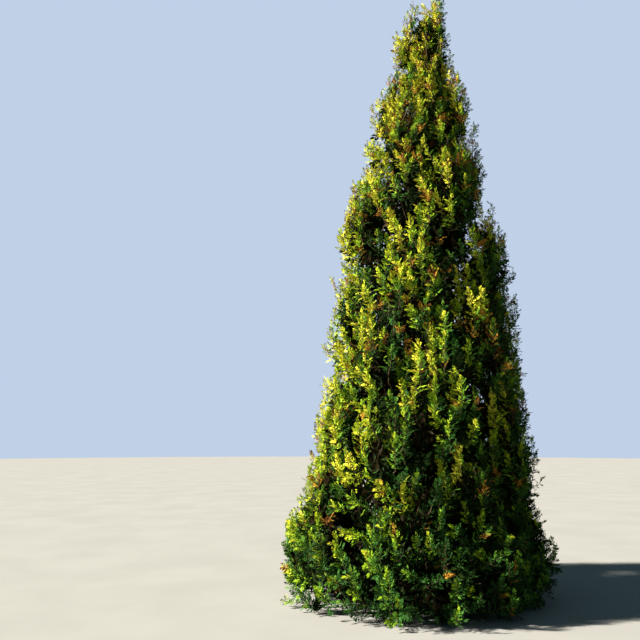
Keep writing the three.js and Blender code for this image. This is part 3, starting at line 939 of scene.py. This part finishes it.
def grow_old_sprays(foliage, plume, curve, count, random):
    """Broad, dull sprays inside the crown that face outwards, near-black with painted shade. Low ones point
    up.
    """
    share = OLD_SPRAY_FOOT + OLD_SPRAY_SPAN * (np.arange(count) + random.random(count)) / count
    roots = on_curve(curve, share[:, None])
    facing = turned(np.tile(plume.out, (count, 1)), UP, random.uniform(-1, 1, count) * OLD_SPRAY_TURN)
    along = turned(np.tile(UP, (count, 1)), facing, random.uniform(0, 360, count))
    along[:, 2] = np.where(roots[:, 2] < OLD_SPRAY_LENGTH, np.abs(along[:, 2]), along[:, 2])
    across = np.cross(facing, along)
    lengths = OLD_SPRAY_LENGTH * np.minimum(1, crown_reach(roots[:, 2]) / OLD_SPRAY_CROWN)
    depth = LEADER_OLD_SPRAY_DEPTH if plume.top else OLD_SPRAY_DEPTH
    kept = spray_fits(plume.room_in_outline, roots, along, across, lengths, depth)
    kinds, tints = old_looks(count, OLD_GREEN_SHARE, random)
    foliage.add_sprays(tints[kept], kinds[kept], roots[kept], along[kept], across[kept], lengths[kept])


def grow_trunk_sprays(foliage, random):
    """The broad, old sprays in the bare middle of the crown, near-black with painted shade."""
    count = OLD_SPRAYS_ON_TRUNK
    height = between(OLD_SPAN, (np.arange(count) + random.random(count)) / count)
    turn = np.radians(360 * GOLDEN_SHARE * np.arange(count))
    out = np.stack([np.cos(turn), np.sin(turn), np.zeros(count)], axis=1)
    away = OLD_TRUNK_REACH * HOLLOW_SHARE * crown_reach(height) * random.random(count)
    roots = line_at(height) + (trunk_radius_at(height) + away)[:, None] * out
    turn = random.uniform(-OLD_TRUNK_TURN, OLD_TRUNK_TURN, count)
    along = turned(np.tile(UP, (count, 1)), out, turn)
    across = np.cross(out, along)
    lengths = np.full(count, OLD_SPRAY_LENGTH)
    kinds, tints = old_looks(count, OLD_TRUNK_GREEN_SHARE, random)
    foliage.add_sprays(tints, kinds, roots, along, across, lengths)


def grow_twig(foliage, plume, stem, index, random):
    """A twig and its tufts, at a share of the way up the stem."""
    share = (index + 0.5) / plume.twigs
    foot = on_curve(stem, between((LOWEST_TWIG, HIGHEST_TWIG), share))
    turn = (2 * ((index * GOLDEN_SHARE + TWIG_TURN_SPREAD * random.random()) % 1) - 1) * plume.fan
    climb = max(0, (share - plume.hanging) / (1 - plume.hanging))
    level = turned(plume.out, UP, turn)
    direction = raised(level, between(plume.rises, climb))
    reach = plume.reach_from(foot, direction, PLUME_GAP, outlined=True)
    length = reach * between(plume.lengths, random.random())
    end = foot + length * direction
    control = (foot + end) / 2 - TWIG_SAG * length * UP
    control[2] = max(control[2], 2 * GROUND_GAP)
    curve = (foot, control, end)
    lift = between((plume.low_tuft_rise, TUFT_RISE), min(1, 2 * climb))
    narrowing = between((TOP_TUFT_SHARE, 1), float(crown_reach(foot[2])) / CROWN_RADIUS)
    borne = 0
    for place, swing, size in TUFTS:
        out = turned(level, UP, swing)
        heading = raised(out, min(STEEPEST_TUFT, lift + random.uniform(-1, 1) * TUFT_RISE_SPREAD))
        joint = on_curve(curve, place)
        borne += grow_tuft(foliage, plume, joint, heading, out, TUFT_LENGTH * size * narrowing, random)
    if borne and length > SHORTEST_TWIG:
        foliage.twigs.append((curve, TWIG_RADIUS, TWIG_TAPER * TWIG_RADIUS))
        grow_old_sprays(foliage, plume, curve, OLD_SPRAYS_ON_TWIG, random)


def grow_plume(foliage, plume):
    random = np.random.default_rng(plume.seed)
    stem = plume.stem_curve()
    foot_radius = plume.stem_radius * (1 if plume.top else BOUGH_TIP_SHARE)
    foliage.stems.append((stem, foot_radius, STEM_TIP_RADIUS))
    grow_old_sprays(foliage, plume, stem, OLD_SPRAYS_ON_STEM, random)
    for index in range(plume.twigs):
        grow_twig(foliage, plume, stem, index, random)


def grow_from_trunk(foliage, form, random):
    """Twigs that the trunk bears itself, and that fill the crown between the plumes."""
    foot, tip = line_at(np.array(form["span"]))
    crown = Plume("crown", (foot + tip) / 2, EAST, bare_middle=False, **form)
    crown.meet([])
    for index in range(crown.twigs):
        grow_twig(foliage, crown, (foot, crown.middle, tip), index, random)


def make_tubes(name, limbs, sides, steps, material):
    """One piece of many thin limbs, each a tube along its curve with closed ends."""
    foot, control, tip = np.array([limb[0] for limb in limbs]).transpose(1, 0, 2)[:, :, None, :]
    share = np.linspace(0, 1, steps + 1)
    middle = on_curve((foot, control, tip), share[None, :, None])
    radii = np.array([limb[1:] for limb in limbs])
    radius = radii[:, :1] + (radii[:, 1:] - radii[:, :1]) * share
    along = unit(tip - foot)
    side = unit(np.cross(along, ASKEW))
    turn = (2 * math.pi * np.arange(sides) / sides)[None, :, None]
    ring = np.cos(turn) * side + np.sin(turn) * np.cross(along, side)
    points = middle[:, :, None, :] + radius[:, :, None, None] * ring[:, None, :, :]
    at = np.arange(len(limbs) * (steps + 1) * sides).reshape(len(limbs), steps + 1, sides)
    on = np.roll(at, -1, axis=2)
    walls = np.stack([at[:, :-1], on[:, :-1], on[:, 1:], at[:, 1:]], axis=-1).reshape(-1, 4)
    faces = walls.tolist() + at[:, 0, ::-1].tolist() + at[:, -1].tolist()
    data = bpy.data.meshes.new(name)
    data.from_pydata(points.reshape(-1, 3), [], faces)
    return add_piece(name, data, material)


def make_sprays(name, corners, material):
    """One piece of many folded fingers."""
    first = 4 * np.arange(len(corners))[:, None]
    triangles = np.concatenate([first + [0, 2, 1], first + [0, 3, 2]])
    data = bpy.data.meshes.new(name)
    data.from_pydata(corners.reshape(-1, 3), [], triangles)
    return add_piece(name, data, material)


def make_foliage(plumes, materials, twig_material):
    foliage = Foliage()
    for plume in plumes:
        grow_plume(foliage, plume)
    random = np.random.default_rng(LAYOUT_SEED)
    grow_from_trunk(foliage, SKIRT_TWIGS, random)
    grow_from_trunk(foliage, TRUNK_TWIGS, random)
    grow_trunk_sprays(foliage, random)
    low, high = SPRAY_BOX
    make_tubes("stems", foliage.stems, *STEM_GRID, twig_material)
    curves = np.array([twig[0] for twig in foliage.twigs])
    inside = ((curves > low) & (curves < high)).all(axis=(1, 2))
    twigs = [twig for twig, kept in zip(foliage.twigs, inside) if kept]
    make_tubes("twigs", twigs, *TWIG_GRID, twig_material)
    pieces = []
    for i, tint in enumerate(TINTS):
        corners = foliage.corners(i)
        inside = (corners > low) & (corners < high)
        corners = corners[inside.all(axis=(1, 2))]
        parts = math.ceil(2 * len(corners) / MOST_TRIANGLES)
        for k, part in enumerate(np.array_split(corners, max(1, parts))):
            pieces.append(make_sprays(f"{tint}_{k + 1}", part, materials[tint]))
    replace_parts(pieces[0], *(plume.name for plume in plumes))


# Materials


class Value:
    """A shader socket. Sums, products and differences add Math nodes."""

    def __init__(self, finish, socket):
        self.finish = finish
        self.socket = socket

    def __add__(self, other):
        return self.finish.node("Math", {"operation": "ADD"}, {0: self, 1: other})

    def __rsub__(self, other):
        return self.finish.node("Math", {"operation": "SUBTRACT"}, {0: other, 1: self})

    def __mul__(self, other):
        return self.finish.node("Math", {"operation": "MULTIPLY"}, {0: self, 1: other})

    __radd__ = __add__
    __rmul__ = __mul__


class Finish:
    """A material as it is made, with its main shader."""

    def __init__(self, name, roughness, specular):
        self.material = bpy.data.materials.new(name)
        self.material.use_nodes = True
        self.tree = self.material.node_tree
        self.shader = self.tree.nodes["Principled BSDF"]
        self.shader.inputs["Roughness"].default_value = roughness
        self.shader.inputs["Specular IOR Level"].default_value = specular
        self.place = self.node("TexCoord", {}, {}, "Object")

    def node(self, kind, settings, values, output=0):
        """Adds a node: its settings first, then the values or links of its sockets."""
        made = self.tree.nodes.new("ShaderNode" + kind)
        for name, setting in settings.items():
            setattr(made, name, setting)
        for name, value in values.items():
            self.feed(made.inputs[name], value)
        return Value(self, made.outputs[output])

    def feed(self, socket, value):
        if isinstance(value, Value):
            self.tree.links.new(value.socket, socket)
        else:
            socket.default_value = value

    def stretched(self, x, y, z):
        """The place, with each axis scaled."""
        return self.node("Mapping", {}, {"Vector": self.place, "Scale": (x, y, z)})

    def noise(self, scale, detail=2.0, place=None):
        return self.node("TexNoise", {}, {"Vector": place or self.place, "Scale": scale, "Detail": detail})

    def cells(self, scale, place=None):
        """How far it is to the middle of the nearest cell: about 0 to 1."""
        return self.node("TexVoronoi", {}, {"Vector": place or self.place, "Scale": scale})

    def steep(self, value, low, high):
        """A value drawn out so that low becomes 0 and high becomes 1, smoothly."""
        settings = {"interpolation_type": "SMOOTHSTEP"}
        return self.node("MapRange", settings, {"Value": value, "From Min": low, "From Max": high})

    def blend(self, share, first, second):
        """A colour between two others."""
        sides = [(*side, 1) if isinstance(side, tuple) else side for side in (first, second)]
        first_place, second_place = MIX_COLORS
        values = {0: share, first_place: sides[0], second_place: sides[1]}
        return self.node("Mix", {"data_type": "RGBA"}, values, MIX_RESULT)

    def color(self, value):
        self.feed(self.shader.inputs["Base Color"], value)

    def roughness(self, value):
        self.feed(self.shader.inputs["Roughness"], value)

    def bump(self, height, depth, strength):
        values = {"Height": height, "Distance": depth, "Strength": strength}
        self.feed(self.shader.inputs["Normal"], self.node("Bump", {}, values))


def shaded(color, amount):
    """A colour made darker or brighter."""
    return tuple(min(1.0, amount * part) for part in color)


def leaf_finish(name, color):
    """Scale leaves: a tint that drifts over the plant, with small overlapping scales and dull patches."""
    finish = Finish(name, LEAF_ROUGHNESS, LEAF_SPECULAR)
    drift = finish.steep(finish.noise(LEAF_DRIFT), *LEAF_DRIFT_RANGE)
    tinted = finish.blend(drift, *(shaded(color, amount) for amount in LEAF_DRIFT_SHADES))
    dull = finish.steep(finish.noise(LEAF_PATCH, detail=3.0), *LEAF_PATCH_RANGE)
    red, green, blue = (part * share for part, share in zip(color, LEAF_DULL_PARTS))
    tinted = finish.blend(dull * LEAF_DULL_SHARE, tinted, (red + LEAF_DULL_RED, green, blue))
    scales = finish.cells(LEAF_SCALE, finish.stretched(1, 1, LEAF_SCALE_STRETCH))
    edges = finish.steep(scales, *LEAF_EDGE_RANGE)
    finish.color(finish.blend(edges * LEAF_EDGE_SHARE, tinted, shaded(color, LEAF_EDGE_SHADE)))
    finish.roughness(LEAF_ROUGHNESS - LEAF_POLISH + LEAF_EDGE_ROUGHNESS * edges)
    finish.bump(1 - scales, LEAF_SCALE_DEPTH, LEAF_BUMP)
    return finish.material


def bark_finish(name, color, groove, strip):
    """Stringy bark: thin strips that run up the limb, with dark grooves, greyer where it is weathered."""
    finish = Finish(name, BARK_ROUGHNESS, BARK_SPECULAR)
    along = finish.stretched(1, 1, 1 / BARK_STRIP_STRETCH)
    strips = finish.noise(strip, detail=4.0, place=along)
    fibres = finish.noise(BARK_FIBRES * strip, detail=3.0, place=along)
    weathered = finish.steep(finish.noise(BARK_PATCH), *BARK_PATCH_RANGE)
    halfway_grey = tuple(0.5 * part + 0.5 * sum(color) / 3 for part in color)
    tinted = finish.blend(weathered * BARK_WEATHERED_SHARE, color, halfway_grey)
    bright = finish.steep(fibres, *BARK_FIBRE_RANGE) * BARK_FIBRE_SHARE
    tinted = finish.blend(bright, tinted, shaded(color, BARK_FIBRE_SHADE))
    finish.color(finish.blend(1 - finish.steep(strips, *BARK_GROOVE_RANGE), tinted, groove))
    finish.roughness(BARK_ROUGHNESS - BARK_POLISH + BARK_FIBRE_ROUGHNESS * fibres)
    finish.bump(strips + BARK_FIBRE_HEIGHT * fibres, BARK_GROOVE_DEPTH, BARK_BUMP)
    return finish.material


def cone_finish(name, color):
    """Dry woody scales: tan, darker and redder in places, with a fine grain."""
    finish = Finish(name, CONE_ROUGHNESS, LEAF_SPECULAR)
    patches = finish.steep(finish.noise(CONE_PATCH), *CONE_PATCH_RANGE)
    tinted = finish.blend(patches, color, CONE_DARK)
    grain = finish.noise(CONE_GRAIN, detail=3.0)
    darker = finish.steep(grain, *CONE_GRAIN_RANGE) * CONE_GRAIN_SHARE
    finish.color(finish.blend(darker, tinted, shaded(color, CONE_GRAIN_SHADE)))
    finish.roughness(CONE_ROUGHNESS - CONE_POLISH + CONE_GRAIN_ROUGHNESS * grain)
    finish.bump(grain, CONE_GRAIN_DEPTH, CONE_BUMP)
    return finish.material


def floor_finish():
    """A pale, matte floor with a faint cloudiness."""
    finish = Finish("floor", FLOOR_ROUGHNESS, 0)
    clouds = finish.steep(finish.noise(FLOOR_CLOUD, detail=4.0), *FLOOR_CLOUD_RANGE)
    finish.color(finish.blend(clouds, FLOOR_COLOR, shaded(FLOOR_COLOR, FLOOR_CLOUD_SHADE)))
    finish.roughness(FLOOR_ROUGHNESS - FLOOR_POLISH + FLOOR_CLOUD_ROUGHNESS * clouds)
    return finish.material


# Floor, light and camera


def make_floor():
    mesh = bmesh.new()
    bmesh.ops.create_circle(mesh, cap_ends=True, segments=FLOOR_SIDES, radius=FLOOR_RADIUS)
    data = bpy.data.meshes.new("floor")
    mesh.to_mesh(data)
    mesh.free()
    floor = add_object("floor", data)
    data.materials.append(floor_finish())


def make_lights():
    sun = bpy.data.lights.new("key", "SUN")
    sun.energy = KEY_ENERGY
    sun.angle = math.radians(KEY_ANGLE)
    sun.color = KEY_COLOR
    holder = add_object("key", sun)
    holder.rotation_euler = Vector(KEY_SIDE).to_track_quat("Z", "Y").to_euler()
    world = bpy.data.worlds.new("studio")
    world.use_nodes = True
    nodes = world.node_tree.nodes
    fill = nodes["Background"]
    fill.inputs["Color"].default_value = FILL_COLOR
    fill.inputs["Strength"].default_value = FILL_STRENGTH
    backdrop = nodes.new("ShaderNodeBackground")
    backdrop.inputs["Color"].default_value = BACKDROP_COLOR
    backdrop.inputs["Strength"].default_value = BACKDROP_STRENGTH
    seen = nodes.new("ShaderNodeLightPath")
    mix = nodes.new("ShaderNodeMixShader")
    links = world.node_tree.links
    links.new(seen.outputs["Is Camera Ray"], mix.inputs["Fac"])
    links.new(fill.outputs["Background"], mix.inputs[1])
    links.new(backdrop.outputs["Background"], mix.inputs[2])
    links.new(mix.outputs["Shader"], nodes["World Output"].inputs["Surface"])
    bpy.context.scene.world = world
    bpy.context.scene.view_settings.view_transform = "Standard"


def make_camera():
    camera = bpy.data.cameras.new("camera")
    camera.lens = LENS
    camera.sensor_width = SENSOR
    holder = add_object("camera", camera)
    holder.location = CAMERA_PLACE
    holder.rotation_euler = (math.radians(90 + CAMERA_PITCH), 0, 0)
    bpy.context.scene.camera = holder


plumes = lay_out_plumes()
finishes = {name: leaf_finish(name, color) for name, color in LEAF_COLORS.items()}
finishes["cones"] = cone_finish("cones", CONE_COLOR)
bark = bark_finish("bark", BARK_COLOR, BARK_GROOVE_COLOR, 1 / BARK_STRIP)
twig_bark = bark_finish("twig_bark", TWIG_COLOR, TWIG_GROOVE_COLOR, TWIG_BARK_STRIP)
make_trunk(bark)
make_boughs(plumes, bark)
make_foliage(plumes, finishes, twig_bark)
make_floor()
make_lights()
make_camera()
